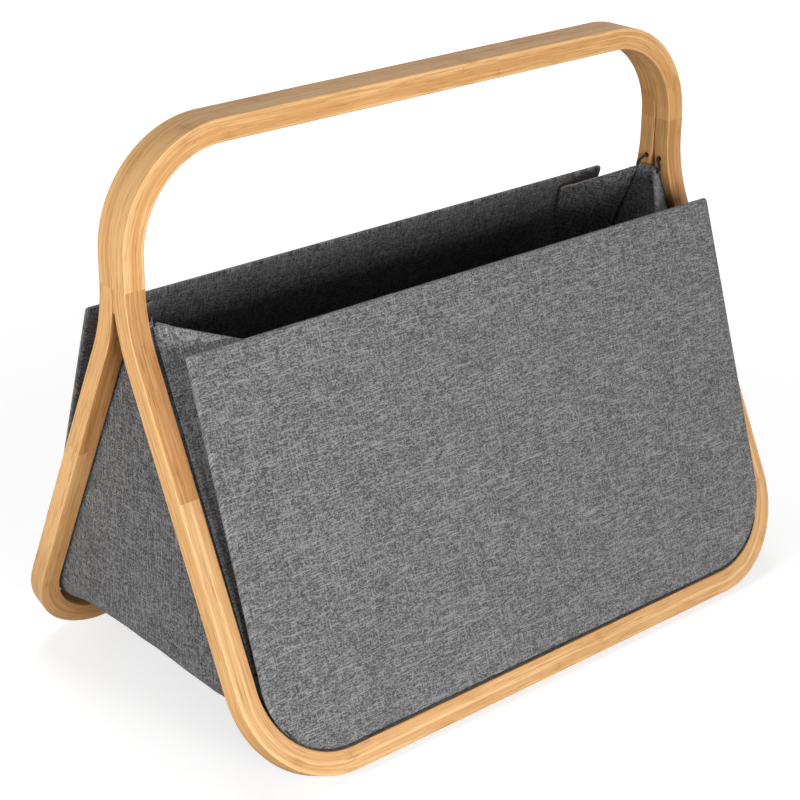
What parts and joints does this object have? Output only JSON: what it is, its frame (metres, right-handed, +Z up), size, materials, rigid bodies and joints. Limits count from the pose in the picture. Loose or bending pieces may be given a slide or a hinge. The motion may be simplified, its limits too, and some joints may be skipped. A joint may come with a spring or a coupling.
{
  "type": "magazine basket",
  "caption": "Fabric magazine basket hung between splayed bent bamboo hoops that meet as a carrying handle, with stiff fold-out flaps at each end.",
  "frame": {"origin": "on the floor under the middle of the handle, centre of the bounding box's bottom face", "axes": "+X along the handle to the right, +Y to the back, +Z up; the front panel faces -Y"},
  "size_m": [0.52, 0.3014, 0.4156],
  "materials": {
    "bamboo": "pale laminated bamboo under a satin lacquer, strips running along the bar",
    "bamboo_deep": "the same bamboo, a shade more orange in the bent lengths",
    "grey_cloth": "melange grey plain weave with a cross-hatched slub, matt",
    "lining_cloth": "the same grey weave on the inside, in shade",
    "greyboard": "pressed grey stiffening board, hidden inside the cloth",
    "elastic": "round black elastic cord with a braided cover"
  },
  "bodies": {
    "basket": {"front_handle_bow": "bamboo", "front_left_leg": "bamboo_deep", "front_right_leg": "bamboo_deep", "front_foot_bow": "bamboo", "back_handle_bow": "bamboo", "back_left_leg": "bamboo_deep", "back_right_leg": "bamboo_deep", "back_foot_bow": "bamboo", "front_panel_cover": "grey_cloth", "front_panel_board": "greyboard", "back_panel_cover": "grey_cloth", "back_panel_board": "greyboard", "band_cover": "grey_cloth", "band_lining": "lining_cloth", "left_end_board": "greyboard", "right_end_board": "greyboard", "floor_board": "greyboard", "left_hem": "grey_cloth", "right_hem": "grey_cloth", "left_cord": "elastic", "right_cord": "elastic"},
    "left_front_flap": {"left_front_flap_cover": "grey_cloth", "left_front_flap_board": "greyboard"},
    "left_back_flap": {"left_back_flap_cover": "grey_cloth", "left_back_flap_board": "greyboard"},
    "right_front_flap": {"right_front_flap_cover": "grey_cloth", "right_front_flap_board": "greyboard"},
    "right_back_flap": {"right_back_flap_cover": "grey_cloth", "right_back_flap_board": "greyboard"}
  },
  "joints": [
    {"name": "left_front_flap_fold", "type": "hinge", "parent": "basket", "child": "left_front_flap", "pos_m": [-0.237, -0.0085, 0.2973], "axis": [0, 0.4119, 0.9112], "range_deg": [0, 45]},
    {"name": "left_back_flap_fold", "type": "hinge", "parent": "basket", "child": "left_back_flap", "pos_m": [-0.237, 0.0085, 0.2973], "axis": [0, 0.4119, -0.9112], "range_deg": [0, 45]},
    {"name": "right_front_flap_fold", "type": "hinge", "parent": "basket", "child": "right_front_flap", "pos_m": [0.237, -0.0085, 0.2973], "axis": [0, -0.4119, -0.9112], "range_deg": [0, 45]},
    {"name": "right_back_flap_fold", "type": "hinge", "parent": "basket", "child": "right_back_flap", "pos_m": [0.237, 0.0085, 0.2973], "axis": [0, -0.4119, 0.9112], "range_deg": [0, 45]}
  ]
}
